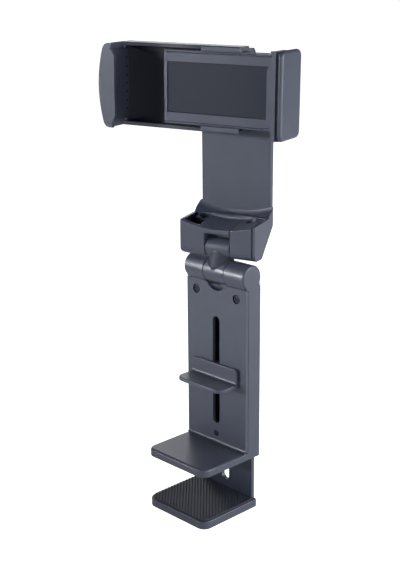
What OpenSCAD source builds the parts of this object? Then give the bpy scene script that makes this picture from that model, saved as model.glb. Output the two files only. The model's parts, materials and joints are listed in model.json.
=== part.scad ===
// Folding phone holder with a table clamp foot, a two-hinge swivel link and a sliding phone clamp.
// Millimetres, Z up. The origin is under the middle of the arm, on the underside of the lower jaw.
// The front of the arm faces -Y.

/* [Arm] */
// width of the arm and of both table jaws
arm_w = 41; // [40:0.2:43]
// depth of the arm from the front cover to the back
arm_t = 10.6; // [10.5:0.05:10.7]
// thickness of the front cover
cover_t = 1.8; // [1.6:0.1:2.2]
// thickness of the side walls of the rear housing
side_wall = 1.8; // [1.6:0.1:2.4]
// radius of the upright edges at the back
back_round = 1.2; // [1:0.1:2.4]
// height of the top edge of the front cover
cover_top = 116; // [115.2:0.1:116.2]
// how much narrower the cover is than the housing, each side
cover_step = 0.15; // [0.1:0.05:0.5]
// radius of the round notch in the top of the cover
notch_r = 7.2; // [6.4:0.2:8]
// depth of that notch
notch_d = 3.8; // [3:0.1:4.2]
// width of the long slot in the cover
slot_w = 4.8; // [4.6:0.1:5.4]
// height of the lower end of the slot
slot_low = 42.4; // [41:0.2:43.4]
// height of the upper end of the slot
slot_high = 99.1; // [97.6:0.1:101]

/* [Table clamp] */
// height of the underside of the upper jaw
upper_z = 27.9; // [27.4:0.1:29]
// thickness of the upper jaw
upper_t = 4; // [3.6:0.1:4.6]
// how far both jaws reach in front of the cover
reach = 29.1; // [26:0.5:34]
// corner radius of the jaws at the front
jaw_round = 4.6; // [3:0.2:6]
// thickness of the lower jaw without its rubber
lower_t = 4.4; // [4:0.1:4.8]
// thickness of the rubber on the lower jaw
lower_pad_t = 1.4; // [1.2:0.1:1.6]
// thickness of the rubber under the upper jaw
upper_pad_t = 1.4; // [1.2:0.1:1.6]
// margin from the edge of a jaw to its rubber
pad_margin = 1; // [0.8:0.1:1.6]
// thickness of the sliding back plate
slide_t = 2.2; // [2:0.1:2.4]
// height of the top of the sliding plate
slide_top = 84; // [80:0.5:86]
// width of the slot in the sliding plate
slide_slot_w = 5.2; // [4.6:0.1:6]
// lower end of the slot in the sliding plate
slide_slot_z0 = 9; // [8:0.25:10]
// upper end of the slot in the sliding plate
slide_slot_z1 = 62; // [61.4:0.2:63]

/* [Thumb tab] */
// half width of the plate of the tab
tab_x = 15.6; // [13:0.2:17]
// height of the bottom of the tab
tab_z = 65.4; // [65:0.2:66.6]
// height of the plate of the tab
tab_h = 9.8; // [9:0.2:10.4]
// thickness of the plate of the tab
tab_t = 1.5; // [1.2:0.1:2]
// thickness of the ledge
ledge_t = 2; // [1.6:0.1:2.4]
// how far the ledge reaches in front of the cover
ledge_reach = 13.4; // [11:0.2:15]

/* [Link] */
// height of the lower hinge
low_z = 121.6; // [121.6:0.1:123]
// distance of the lower hinge behind the face of the cover
low_y = 4.1; // [4:0.05:4.3]
// radius of the lower hinge barrel
low_r = 6.4; // [6.3:0.05:6.4]
// radius of the lower axle
low_pin_r = 1.6; // [1.4:0.05:1.6]
// width of the centre knuckle
knuckle_w = 13.8; // [13.4:0.1:14.2]
// distance between the two hinge axes
link_len = 11.9; // [11.85:0.05:12.3]
// radius of the upper knuckle
up_r = 5; // [4.8:0.05:5.1]
// width of the upper knuckle
up_w = 13.2; // [12.8:0.1:13.2]
// radius of the upper axle
up_pin_r = 1.5; // [1.3:0.05:1.6]
// turn of the head on the swivel at rest, degrees
head_yaw = 16; // [0:1:30]

/* [Head] */
// width of the head block
head_w = 41; // [40.4:0.2:42]
// front face of the head block, in front of the upper hinge
head_front = 5.3; // [5.2:0.05:5.3]
// bottom of the head block below the upper hinge
head_low = 4.7; // [4.6:0.05:4.8]
// top of the sides of the head block at the back, above the upper hinge
head_top = 14.2; // [14:0.1:14.6]
// how much the sides of the head block rise to the back
side_rise = 1.3; // [1:0.1:1.6]
// front face of the neck plate behind the upper hinge
neck_y = 14.3; // [14.3:0.1:15]
// thickness of the neck plate
neck_t = 3; // [2.6:0.1:3.6]
// half width of the neck plate
neck_x = 19; // [17:0.25:19.5]
// height of the clamp pivot above the upper hinge
pivot_z = 75; // [74.6:0.1:77]
// height of the middle of the tray at the front, above the upper hinge
tray_z = 9.6; // [9.4:0.1:10]
// how much the tray rises to the back
tray_rise = 3.3; // [3:0.1:3.4]

/* [Phone clamp] */
// turn of the phone clamp about its pivot at rest, degrees
clamp_tilt = 0.7; // [0:0.1:2]
// front face of the clamp frame behind the upper hinge
frame_y = 4.5; // [4.4:0.05:4.6]
// left end of the clamp frame from the pivot
frame_left = 35; // [34.5:0.1:36]
// half height of the raised frame face
face_z = 16.3; // [15.8:0.1:16.4]
// half height of the frame with its border
frame_z = 17.6; // [17.4:0.05:17.7]
// half height of the jaws
jaw_z = 20.4; // [20.2:0.05:21]
// reach of the jaws in front of the frame face
jaw_reach = 11.9; // [10:0.1:14]
// thickness of the lips of the jaws
lip_t = 1.8; // [1.5:0.1:2.2]
// inner edge of the right lip from the pivot
right_lip_x = 27.1; // [27:0.1:28]
// radius of the outside of the left jaw, about the pivot
left_r = 64.5; // [63:0.1:65]
// corner radius of the left jaw, seen from the front
left_round = 3; // [2:0.25:4]
// inner edge of the left lip from the pivot
left_lip_x = 55.3; // [54.8:0.1:56]
// half width of the phone pad
pad_x = 29.9; // [27:0.1:30]
// half height of the phone pad
pad_z = 12.2; // [10:0.1:14]
// thickness of the phone pad
pad_t = 1.2; // [1:0.1:1.4]
// thickness of the rubber lining of the left jaw
left_lining_t = 1.5; // [1.2:0.1:1.6]
// thickness of the rubber lining of the right jaw
right_lining_t = 1.3; // [1:0.1:1.5]
// right end of the guide bars
guide_x = 7.3; // [6:0.1:8]
// length of the guide bars
guide_len = 20.7; // [16:0.1:24]
// thickness of the guide bars and the rail stop
guide_t = 0.9; // [0.7:0.05:0.95]
// length of the rail stop
stop_len = 7.8; // [6.6:0.1:8]

/* [Fits] */
// gap beside the sliding plate, each side
slide_gap = 0.2; // [0.15:0.05:0.3]
// radial gap between an axle and its bore
pin_gap = 0.03; // [0.02:0.01:0.05]
// gap beside the knuckles, each side
knuckle_gap = 0.3; // [0.25:0.05:0.3]
// gap between the rails and the frame
rail_gap = 1.1; // [1:0.05:1.2]
// radial gap between the swivel stem and its socket
swivel_gap = 0.06; // [0.04:0.01:0.08]

/* [Hidden] */
$fn = 64;
over = 0.5;
half_w = arm_w / 2;
back_wall = 1.75;
slide_x = half_w - side_wall - slide_gap;
slide_y1 = arm_t - back_wall - 0.25;
slide_y0 = slide_y1 - slide_t;
jaw_top = upper_z + upper_t;
screw_x = 13.7;
screw_z = 110.7;
screw_r = 0.97;
screw_head_r = 2.2;
low_screw_z = 36.9;
low_screw_r = 0.7;
low_boss_r = 2.1;
low_head_r = 1.5;
pad_sunk = 0.5;
tab_screw_z = tab_z + 6.2;
stem_x = slot_w / 2 - 0.3;
cavity_top = 112.8;
spigot_r = 4.4;
spigot_z0 = 2.05;
spigot_z1 = 2.7;
ring_z = 2.36;
ring_r = 0.3;
cone_r0 = 6.28;
post_r = 6.34;
room_r = norm([post_r, spigot_z1]) + 0.3;
cone_r1 = 6;
chin_r = low_r - 0.03;
cone_z = 7;
waist_r = up_r - 0.1;
recess_x = up_w / 2 + knuckle_gap;
recess_top = 7.3;
shelf_z = 6;
skin_t = 1.5;
tray_back = 8.6;
cheek_t = 1.3;
seam = 0.3;
groove = 0.5;
cheek_front = head_front - 0.4;
scoop_r = pivot_z - tray_z;
cove_r = 3;
fillet_y = neck_y - cove_r;
foot_top = 19.6;
tray_screw_x = 13;
tray_screw_y = 5.6;
pocket_x = 19;
pocket_y = 3.4;
pin_head_r = 2.45;
neck_back = neck_y + neck_t;
clamp_back_y = neck_y - 1.1;
border_y = frame_y + 0.6;
frame_back = frame_y + 3.6;
frame_round = 2.8;
tongue_y0 = frame_back + 0.2;
tongue_y1 = clamp_back_y - 2.7;
cover_y0 = clamp_back_y - 2.5;
tongue_z = frame_z + rail_gap + 0.4;
wall_x0 = right_lip_x + 2.6;
wall_x1 = right_lip_x + 5.7;
cap_x = right_lip_x + 7.7;
jaw_front = frame_y - jaw_reach;
left_wall_x = left_lip_x + 3.3;
rail_y = border_y - 0.2;
rail_z = frame_z + rail_gap;
guide_z = frame_z - 0.3;
guide_top = jaw_z - 0.1;
lining_z = 17.2;
pad_c = -2.7;
pad_deep = frame_y + 0.5;
boss_x = 12;
boss_z = 11;
post_x = 27.2;
hub_r = 5;
hub_flange_r = 9;
cap_r = 8.5;

slate = [0.24, 0.26, 0.30];
dark = [0.12, 0.13, 0.15];
steel = [0.70, 0.71, 0.73];

// block between two corners
module box(x0, x1, y0, y1, z0, z1) {
  translate([x0, y0, z0]) cube([x1 - x0, y1 - y0, z1 - z0]);
}

// extrude a (y, z) outline along X
module along_x(x0, x1) {
  translate([x0, 0, 0]) rotate([90, 0, 90]) linear_extrude(x1 - x0) children();
}

// extrude an (x, z) outline along Y
module along_y(y0, y1) {
  translate([0, y1, 0]) rotate([90, 0, 0]) linear_extrude(y1 - y0) children();
}

// extrude an (x, y) outline along Z
module along_z(z0, z1) {
  translate([0, 0, z0]) linear_extrude(z1 - z0) children();
}

module rod_x(r, x0, x1) {
  translate([x0, 0, 0]) rotate([0, 90, 0]) cylinder(r = r, h = x1 - x0);
}

module rod_y(r, y0, y1) {
  translate([0, y1, 0]) rotate([90, 0, 0]) cylinder(r = r, h = y1 - y0);
}

module rod_z(r, z0, z1) {
  translate([0, 0, z0]) cylinder(r = r, h = z1 - z0);
}

// outline with one radius at the low end and another at the high end, x is the half width
module plan(x, y0, y1, r0, r1) {
  translate([-x, y0 + r0]) square([2 * x, y1 - y0 - r0 - r1]);
  translate([r0 - x, y0]) square([2 * (x - r0), 2 * r0]);
  translate([r1 - x, y1 - 2 * r1]) square([2 * (x - r1), 2 * r1]);
  for (s = [-1, 1]) {
    translate([s * (x - r0), y0 + r0]) circle(r0);
    translate([s * (x - r1), y1 - r1]) circle(r1);
  }
}

// rectangle with four equal round corners
module round_rect(x0, x1, y0, y1, r) {
  translate([(x0 + x1) / 2, 0]) plan((x1 - x0) / 2, y0, y1, r, r);
}

// upright slot with round ends
module slot_shape(w, z0, z1) {
  translate([-w / 2, z0 + w / 2]) square([w, z1 - z0 - w]);
  for (z = [z0 + w / 2, z1 - w / 2]) translate([0, z]) circle(w / 2);
}

// hollow strip of size r in the corner between a wall at y and a floor at z, seen in (y, z)
module cove(y, z, r) {
  e = 0.35 * r;
  difference() {
    translate([y - r, z]) square([r + 0.4, r]);
    translate([y - r - e, z + r + e]) circle(sqrt(e * e + (r + e) * (r + e)));
  }
}

// cross recess of a screw whose head faces -Y
module cross_y(y, size, depth) {
  box(-size, size, y - over, y + depth, -size / 4, size / 4);
  box(-size / 4, size / 4, y - over, y + depth, -size, size);
}

// places a child on the lower hinge axis
module at_low() {
  translate([0, low_y, low_z]) children();
}

// turns a child with the stem, on the lower hinge axis
module on_swivel() {
  at_low() rotate([0, 0, head_yaw]) children();
}

// places a child in the frame of the head, on the upper hinge axis
module in_head() {
  on_swivel() translate([0, 0, link_len]) children();
}

// places a child on the clamp pivot
module in_clamp() {
  in_head() translate([0, 0, pivot_z]) rotate([0, clamp_tilt, 0]) children();
}

// outline of the rubber under the upper jaw
module upper_pad_shape() {
  plan(half_w - 2.5, 1.5 - reach, -1, jaw_round - 1.4, 0.6);
}

// outline of the rubber on the lower jaw
module lower_pad_shape() {
  plan(half_w - pad_margin, pad_margin - reach, slide_y0 - 0.6, jaw_round - pad_margin, 0.8);
}

module arm_shell() {
  color(slate) difference() {
    union() {
      difference() {
        along_z(upper_z, low_z) intersection() {
          plan(half_w, -reach, arm_t, jaw_round, back_round);
          translate([-half_w, cover_t]) square([arm_w, arm_t]);
        }
        box(side_wall - half_w, half_w - side_wall, cover_t - over, arm_t - back_wall,
          jaw_top, cavity_top);
      }
      along_z(upper_z, jaw_top) plan(half_w, -reach, arm_t, jaw_round, back_round);
      at_low() rod_x(low_r, -half_w, half_w);
      // front of the outer knuckles, straight down to the cover
      for (s = [0, 1]) mirror([s, 0, 0]) along_x(knuckle_w / 2 + knuckle_gap, half_w)
        polygon([[low_y, low_z], [low_y - chin_r * cos(25), low_z - chin_r * sin(25)],
          [0, cover_top + 0.3], [low_y, cover_top + 0.3]]);
      for (s = [-1, 1]) translate([s * screw_x, 0, screw_z])
        rod_y(2.7, cover_t, arm_t - back_wall + over);
      translate([0, 0, low_screw_z]) rod_y(low_boss_r, cover_t, arm_t - back_wall + over);
    }
    // passage for the sliding plate
    box(-slide_x - slide_gap, slide_x + slide_gap, slide_y0 - 0.15, slide_y1 + 0.25,
      upper_z - over, jaw_top + over);
    // pocket for the rubber
    along_z(upper_z - over, upper_z + upper_pad_t - pad_sunk)
      upper_pad_shape();
    for (s = [-1, 1]) translate([s * screw_x, 0, screw_z])
      rod_y(screw_r, cover_t - over, arm_t - back_wall - 0.4);
    translate([0, 0, low_screw_z]) rod_y(low_screw_r, cover_t - over, 7);
    // room for the centre knuckle
    at_low() rod_x(room_r, -knuckle_w / 2 - knuckle_gap, knuckle_w / 2 + knuckle_gap);
    box(-knuckle_w / 2 - knuckle_gap, knuckle_w / 2 + knuckle_gap, low_y, arm_t + over,
      low_z - cone_r0 - 0.5, low_z);
    at_low() rod_x(low_pin_r + pin_gap, -half_w - over, half_w - 2);
    at_low() rod_x(2.6, -half_w - over, 1 - half_w);
  }
}

module arm_cover() {
  color(slate) difference() {
    along_y(0, cover_t) difference() {
      translate([cover_step - half_w, jaw_top])
        square([arm_w - 2 * cover_step, cover_top - jaw_top]);
      slot_shape(slot_w, slot_low, slot_high);
      translate([0, cover_top - notch_d + notch_r]) circle(notch_r);
      for (s = [-1, 1]) translate([s * screw_x, screw_z]) circle(1.1);
      translate([0, low_screw_z]) circle(0.8);
    }
    for (s = [-1, 1]) translate([s * screw_x, 0, screw_z])
      rod_y(screw_head_r + 0.1, -over, cover_t - 0.9);
    translate([0, 0, low_screw_z]) rod_y(low_head_r + 0.1, -over, 0.9);
    at_low() rod_x(low_r + 0.2, -half_w - over, half_w + over);
    at_low() rod_x(room_r, -knuckle_w / 2 - knuckle_gap, knuckle_w / 2 + knuckle_gap);
  }
  // hollow strip in the corner above the upper jaw
  color(slate) along_x(cover_step - half_w, half_w - cover_step) cove(0, jaw_top, 1.1);
}

module cover_screws() {
  color(dark) for (s = [-1, 1]) translate([s * screw_x, 0, screw_z]) difference() {
    union() {
      rod_y(screw_head_r, 0.25, cover_t - 0.9);
      rod_y(screw_r, 0.5, arm_t - back_wall - 0.8);
    }
    cross_y(0.25, 1.2, 0.5);
  }
}

module cover_screw_low() {
  color(dark) translate([0, 0, low_screw_z]) difference() {
    union() {
      rod_y(low_head_r, 0.2, 0.9);
      rod_y(low_screw_r, 0.5, 6.5);
    }
    cross_y(0.2, 0.9, 0.35);
  }
}

module upper_jaw_pad() {
  color(dark) along_z(upper_z - pad_sunk, upper_z + upper_pad_t - pad_sunk)
    upper_pad_shape();
}

module hinge_pin_low() {
  color(steel) at_low() {
    rod_x(low_pin_r, 0.5 - half_w, half_w - 2.2);
    rod_x(2.55, 0.2 - half_w, 1 - half_w);
  }
}

module lower_jaw() {
  color(slate) difference() {
    union() {
      along_z(0, lower_t) plan(half_w, -reach, slide_y1, jaw_round, back_round);
      along_y(slide_y0, slide_y1) plan(slide_x, lower_t - 3, slide_top, 0.5, 2);
    }
    along_y(slide_y0 - over, slide_y1 + over)
      slot_shape(slide_slot_w, slide_slot_z0, slide_slot_z1);
    along_z(lower_t - pad_sunk, lower_t + over) lower_pad_shape();
    translate([0, 0, tab_screw_z]) {
      rod_y(1.1, slide_y0 - over, slide_y1 + over);
      rod_y(2.1, slide_y1 - 1.2, slide_y1 + over);
    }
  }
}

module lower_jaw_pad() {
  pad_z0 = lower_t - pad_sunk;
  color(dark) along_z(pad_z0, pad_z0 + lower_pad_t) lower_pad_shape();
}

module thumb_tab() {
  color(slate) difference() {
    union() {
      along_y(-0.3 - tab_t, -0.3) plan(tab_x, tab_z, tab_z + tab_h, 0.6, 2);
      along_z(tab_z, tab_z + ledge_t) plan(tab_x, -ledge_reach, -0.3, 4.4, 0.6);
      along_x(0.3 - tab_x, tab_x - 0.3) cove(-0.3 - tab_t, tab_z + ledge_t, 1);
      box(-stem_x, stem_x, -0.5, slide_y0, tab_z + 2.2, tab_z + tab_h - 0.4);
    }
    translate([0, 0, tab_screw_z]) rod_y(screw_r, 1.2, slide_y0 + over);
  }
}

module tab_screw() {
  color(steel) translate([0, 0, tab_screw_z]) {
    rod_y(screw_r, 1.6, slide_y1 - 1);
    rod_y(2, slide_y1 - 1.2, slide_y1 - 0.3);
  }
}

// stem of the swivel about Z, grown by g for its socket
module swivel_shape(g) {
  rod_z(spigot_r + g, spigot_z0 - g, spigot_z1 + over);
  translate([0, 0, spigot_z1 - g])
    cylinder(r1 = cone_r0 + g, r2 = cone_r1 + g, h = cone_z - spigot_z1 + g);
}

module ring_shape(r) {
  translate([0, 0, ring_z]) rotate_extrude() translate([spigot_r, 0]) circle(r);
}

module link_knuckle() {
  color(slate) at_low() difference() {
    union() {
      rod_x(low_r, -knuckle_w / 2, knuckle_w / 2);
      // lower end of the upright post
      rod_z(post_r, 0, spigot_z1 - 0.1);
    }
    rod_x(low_pin_r + pin_gap, -knuckle_w, knuckle_w);
    swivel_shape(swivel_gap);
    ring_shape(ring_r + swivel_gap);
  }
}

module swivel_ring() {
  color(steel) at_low() ring_shape(ring_r);
}

module link_stem() {
  color(slate) on_swivel() difference() {
    union() {
      difference() {
        swivel_shape(0);
        ring_shape(ring_r);
      }
      translate([0, 0, cone_z]) cylinder(r1 = cone_r1, r2 = waist_r, h = link_len - cone_z);
      translate([0, 0, link_len]) rod_x(up_r, -up_w / 2, up_w / 2);
    }
    translate([0, 0, link_len]) rod_x(up_pin_r + pin_gap, -up_w, up_w);
  }
}

module hinge_pin_up() {
  color(steel) in_head() {
    rod_x(up_pin_r, 0.6 - head_w / 2, head_w / 2 - 3);
    rod_x(pin_head_r, 0.3 - head_w / 2, 1.1 - head_w / 2);
  }
}

// side outline of the head block, front is the distance of its front face from the hinge
module head_side(front) {
  r0 = 4.1;
  r1 = 3.4;
  slope = 50;
  cy = 0.7;
  // the slope lies just inside the round edge, so that the two cross cleanly
  ty = cy + (r1 - 0.06) * sin(slope);
  tz = r1 - head_low - (r1 - 0.06) * cos(slope);
  polygon([[-front, head_top - side_rise], [-front, r0 - head_low], [r0 - front, -head_low],
    [cy, -head_low], [ty, tz], [neck_back, tz + (neck_back - ty) * tan(slope)],
    [neck_back, head_top], [fillet_y, head_top]]);
  translate([r0 - front, r0 - head_low]) circle(r0);
  translate([cy, r1 - head_low]) circle(r1);
}

// front outline of the head block, its lower corner is rounder on the left
module head_ends() {
  for (c = [[-1, 3.5], [1, 1]]) intersection() {
    plan(head_w / 2, -head_low, head_top + 5, c[1], 1);
    translate([(c[0] - 1) * head_w / 2, -head_low]) square([head_w, head_top + 2 * head_low]);
  }
}

// outline of the head block from above, its rear corners are cut in two steps
module head_plan(front) {
  x = head_w / 2;
  polygon([[-x, -front], [x, -front], [x, neck_y], [x - 0.9, neck_y + 2.1], [x - 3, neck_back],
    [3 - x, neck_back], [0.9 - x, neck_y + 2.1], [-x, neck_y]]);
}

// front outline of the foot of the neck, its upper corners are cut in two steps
module foot_ends() {
  x = head_w / 2;
  polygon([[-x, shelf_z + 2], [x, shelf_z + 2], [x, foot_top - 2.2], [x - 0.5, foot_top - 0.7],
    [x - 1.5, foot_top], [1.5 - x, foot_top], [0.5 - x, foot_top - 0.7], [-x, foot_top - 2.2]]);
}

// whole head block with its scooped top
module head_block(front) {
  difference() {
    intersection() {
      along_x(-head_w / 2, head_w / 2) head_side(front);
      along_y(-front - over, neck_back + over) head_ends();
      along_z(-head_low - over, head_top + over) head_plan(front);
    }
    translate([0, 0, pivot_z]) rotate([-90, 0, 0]) translate([0, 0, -front - 2])
      cylinder(r1 = scoop_r + 2 * tray_rise / (fillet_y + head_front),
        r2 = scoop_r - tray_rise, h = fillet_y + front + 2);
    // swing of the stem
    along_x(-recess_x, recess_x) polygon([[-20, -20], [-20, recess_top], [1.6, recess_top],
      [1.6, up_r + 0.3], [4.3, 4.3], [28.6, -20]]);
    rod_x(up_r + 0.3, -recess_x, recess_x);
  }
}

// outline of the foot of the neck, its radius about the clamp pivot against -Y
module neck_foot() {
  r = scoop_r - tray_rise;
  e = 0.35 * cove_r;
  difference() {
    translate([r - cove_r, -neck_y - 1]) square([cove_r + 1, cove_r + 1]);
    translate([r - cove_r - e, e - fillet_y])
      circle(sqrt(e * e + (cove_r + e) * (cove_r + e)));
  }
  // slope under its ends, where the tray is higher than the sides of the head
  polygon([[r, -neck_y - 1], [r, -fillet_y], [r + 3, 2.5 - fillet_y], [r + 3, -neck_y - 1]]);
}

// region of the two front pieces, seen in the (y, z) plane
module front_region(front) {
  difference() {
    translate([-front - 2, -head_low - 2]) square([tray_back + front + 2, head_top + 12]);
    translate([skin_t - head_front, -head_low - 4])
      square([tray_back + 20, shelf_z + head_low + 4]);
  }
}

module tray_screw_hole() {
  rod_z(1.1, shelf_z - 1, 20);
  rod_z(screw_head_r + 0.15, 11, 20);
}

module head_shell() {
  x_cheek = head_w / 2 - cheek_t;
  color(slate) in_head() difference() {
    union() {
      difference() {
        head_block(cheek_front);
        along_x(-head_w, x_cheek) front_region(cheek_front);
      }
      // neck plate
      along_y(neck_y, neck_back) {
        translate([-neck_x, head_top - 0.3]) square([2 * neck_x, pivot_z - head_top + 0.3]);
        translate([0, pivot_z]) circle(neck_x);
      }
      // curved foot of the neck plate, hollow to the front
      intersection() {
        translate([0, 0, pivot_z]) rotate([90, 0, 0]) rotate_extrude() neck_foot();
        along_y(fillet_y - 2.6, neck_y + 1) foot_ends();
        along_z(shelf_z, foot_top + over) head_plan(cheek_front);
      }
    }
    rod_x(up_pin_r + pin_gap, -head_w, head_w / 2 - 2.8);
    rod_x(pin_head_r + 0.05, -head_w, 1.1 - head_w / 2);
    for (s = [-1, 1]) translate([s * tray_screw_x, tray_screw_y, 0])
      rod_z(screw_r, 2, shelf_z + over);
    translate([0, 0, pivot_z]) rod_y(hub_r + 0.05, neck_y - over, neck_back + over);
  }
}

module head_front_left() {
  x_seam = recess_x - seam / 2;
  color(slate) in_head() difference() {
    intersection() {
      head_block(head_front);
      along_x(-head_w, x_seam) front_region(head_front);
    }
    translate([-tray_screw_x, tray_screw_y, 0]) tray_screw_hole();
    // small pocket in the tray
    along_z(shelf_z + 1, 20) {
      translate([-pocket_x, -pocket_y]) square([8.8, 6]);
      translate([-pocket_x, -pocket_y]) square([3.2, 11.2]);
    }
  }
}

module head_front_right() {
  x_seam = recess_x + seam / 2;
  color(slate) in_head() difference() {
    intersection() {
      head_block(head_front);
      along_x(x_seam, head_w / 2 - cheek_t - groove) front_region(head_front);
    }
    translate([tray_screw_x, tray_screw_y, 0]) tray_screw_hole();
  }
}

module tray_screws() {
  color(steel) in_head() for (s = [-1, 1]) translate([s * tray_screw_x, tray_screw_y, 0])
    difference() {
      union() {
        rod_z(screw_r, 2.6, 11.5);
        rod_z(screw_head_r, 11, 12.2);
      }
      translate([0, 0, 12.2]) rotate([-90, 0, 0]) cross_y(0, 1.2, 0.5);
    }
}

module pivot_hub() {
  color(dark) in_clamp() difference() {
    union() {
      rod_y(hub_flange_r, clamp_back_y, neck_y - 0.1);
      rod_y(hub_r, clamp_back_y + 0.5, neck_back + 0.1);
    }
    rod_y(1.3, clamp_back_y - over, neck_back + over);
  }
}

module pivot_cap() {
  color(slate) in_clamp() difference() {
    union() {
      rod_y(cap_r, neck_back + 0.1, neck_back + 1.3);
      translate([0, neck_back + 1.9, 0]) rotate([90, 0, 0])
        cylinder(r1 = cap_r - 0.6, r2 = cap_r, h = 0.6);
    }
    rod_y(1.3, neck_back - over, neck_back + 3);
    rod_y(2.5, neck_back + 1, neck_back + 3);
  }
}

module pivot_screw() {
  color(steel) in_clamp() difference() {
    union() {
      rod_y(1.2, clamp_back_y - 2, neck_back + 1.2);
      rod_y(2.4, neck_back + 1, neck_back + 1.7);
    }
    translate([0, neck_back + 1.7, 0]) rotate([180, 0, 0]) cross_y(0, 1.2, 0.4);
  }
}

// lip from inner edge x0 to outer edge x1, its ends cut back by deep from height z0 to z1
module lip_shape(x0, x1, z0, z1, half, deep) {
  d = x1 > x0 ? 1 : -1;
  cut = x0 + d * deep;
  end = x0 + d * deep * 0.6;
  polygon([[x0, -z0], [x0, z0], [cut, z1], [end, half], [x1, half], [x1, -half],
    [end, -half], [cut, -z1]]);
}

module clamp_frame() {
  color(slate) in_clamp() difference() {
    union() {
      // raised face with a rounded left end
      along_z(-face_z, face_z) {
        translate([frame_round - frame_left, frame_y])
          square([frame_left + wall_x0 + over - frame_round, frame_back - frame_y]);
        intersection() {
          translate([frame_round - frame_left, frame_y + frame_round]) circle(frame_round);
          translate([-frame_left, frame_y]) square([frame_round, frame_back - frame_y]);
        }
        translate([-frame_left, frame_y + frame_round])
          square([frame_round + 1, frame_back - frame_y - frame_round]);
      }
      box(0.6 - frame_left, wall_x0 + over, border_y, frame_back, -frame_z, frame_z);
      // right wall, cut back where the rails pass
      box(wall_x0, wall_x1, jaw_front + lip_t - over, 3.7, -jaw_z + 0.2, jaw_z - 0.2);
      box(wall_x0, wall_x1, 3, clamp_back_y, -17, 17);
      along_y(jaw_front, jaw_front + lip_t)
        lip_shape(right_lip_x, wall_x0 + 1.7, 11.8, 16.3, jaw_z - 0.2, 2.7);
      // block that carries the rear cover
      box(wall_x0 - 5.4, wall_x0 + over, frame_back - over, cover_y0, -17, 17);
      for (s = [-1, 1]) translate([-boss_x, 0, s * boss_z])
        rod_y(2.2, frame_back - over, cover_y0);
    }
    // fine groove between the face and the border
    for (s = [-1, 1])
      box(-frame_left - over, wall_x0, border_y - over, border_y + 0.4,
        s * (face_z + 0.3) - 0.3, s * (face_z + 0.3) + 0.3);
    along_y(frame_y - over, pad_deep + pad_t)
      round_rect(pad_c - pad_x, pad_c + pad_x, -pad_z, pad_z, 0.5);
    for (s = [-1, 1]) {
      translate([-boss_x, 0, s * boss_z]) rod_y(0.85, frame_back - 1, cover_y0 + over);
      translate([post_x, 0, s * boss_z]) rod_y(0.85, frame_back - 1, cover_y0 + over);
    }
  }
}

module clamp_back() {
  color(slate) in_clamp() difference() {
    along_y(cover_y0, clamp_back_y) round_rect(-frame_left, wall_x0, -frame_z, frame_z, 1.5);
    for (x = [-boss_x, post_x]) for (s = [-1, 1]) translate([x, 0, s * boss_z]) {
      rod_y(1, cover_y0 - over, clamp_back_y + over);
      rod_y(1.9, clamp_back_y - 1.1, clamp_back_y + over);
    }
    rod_y(1.2, cover_y0 + 0.3, clamp_back_y + over);
  }
}

module back_screws() {
  color(dark) in_clamp() for (x = [-boss_x, post_x]) for (s = [-1, 1])
    translate([x, 0, s * boss_z]) {
      rod_y(0.85, frame_back, clamp_back_y - 1);
      rod_y(1.8, clamp_back_y - 1.1, clamp_back_y - 0.3);
    }
}

module phone_pad() {
  color(dark) in_clamp() along_y(pad_deep, pad_deep + pad_t)
    round_rect(pad_c - pad_x, pad_c + pad_x, -pad_z, pad_z, 0.5);
}

module right_cap() {
  color(slate) in_clamp() along_x(wall_x1, cap_x) translate([(jaw_front + clamp_back_y) / 2, 0])
    round_rect(-(clamp_back_y - jaw_front) / 2, (clamp_back_y - jaw_front) / 2,
      -jaw_z, jaw_z, 3.4);
}

module right_lining() {
  color(dark) in_clamp()
    box(wall_x0 - right_lining_t, wall_x0, jaw_front + lip_t, frame_y, -lining_z, lining_z);
}

// wall of the left jaw, seen from the front: a curved outside and stepped corners
module left_wall() {
  r = left_round;
  x = -sqrt(left_r * left_r - jaw_z * jaw_z);
  intersection() {
    circle(left_r, $fn = 180);
    for (s = [0, 1]) mirror([0, s]) polygon([[-left_r - 1, -1], [-left_r - 1, jaw_z - 1.26 * r],
      [x - 0.64 * r, jaw_z - 1.26 * r], [x + 0.16 * r, jaw_z - 0.2 * r], [x + 0.73 * r, jaw_z],
      [-left_wall_x, jaw_z], [-left_wall_x, -1]]);
  }
}

module left_jaw() {
  tongue_x = 6;
  color(slate) in_clamp() difference() {
    union() {
      along_y(jaw_front, clamp_back_y) left_wall();
      along_y(jaw_front, jaw_front + lip_t)
        lip_shape(-left_lip_x, -left_wall_x - over, jaw_z - 5.8, jaw_z - 2.7, jaw_z, 2.4);
      box(-left_wall_x - over, tongue_x, tongue_y0, tongue_y1, -tongue_z, tongue_z);
      box(-left_wall_x - over, -left_wall_x + 5, tongue_y0, tongue_y1, -jaw_z + 1, jaw_z - 1);
      for (s = [0, 1]) mirror([0, 0, s])
        box(-left_wall_x - over, guide_x, rail_y, clamp_back_y, rail_z, jaw_z);
      // the upper rail goes on behind its end stop
      box(guide_x - over, guide_x + stop_len - 1.2, rail_y, rail_y + 1.2, rail_z, jaw_z - 0.2);
    }
    // slots past the bosses of the frame
    for (s = [-1, 1]) along_y(tongue_y0 - over, tongue_y1 + over)
      translate([0, s * boss_z]) round_rect(-boss_x - 21, -boss_x + 11, -2.6, 2.6, 2.5);
  }
}

module left_lining() {
  teeth = 7;
  pitch = 4.2;
  color(dark) in_clamp() difference() {
    box(-left_wall_x, left_lining_t - left_wall_x, jaw_front + lip_t, tongue_y0,
      -lining_z, lining_z);
    for (i = [0 : teeth - 1]) translate([0, 0, (i - (teeth - 1) / 2) * pitch])
      box(-left_wall_x + 0.4, -left_wall_x + 3, tongue_y0 - 2.2, tongue_y0 - 0.6, -0.5, 0.5);
  }
}

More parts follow.
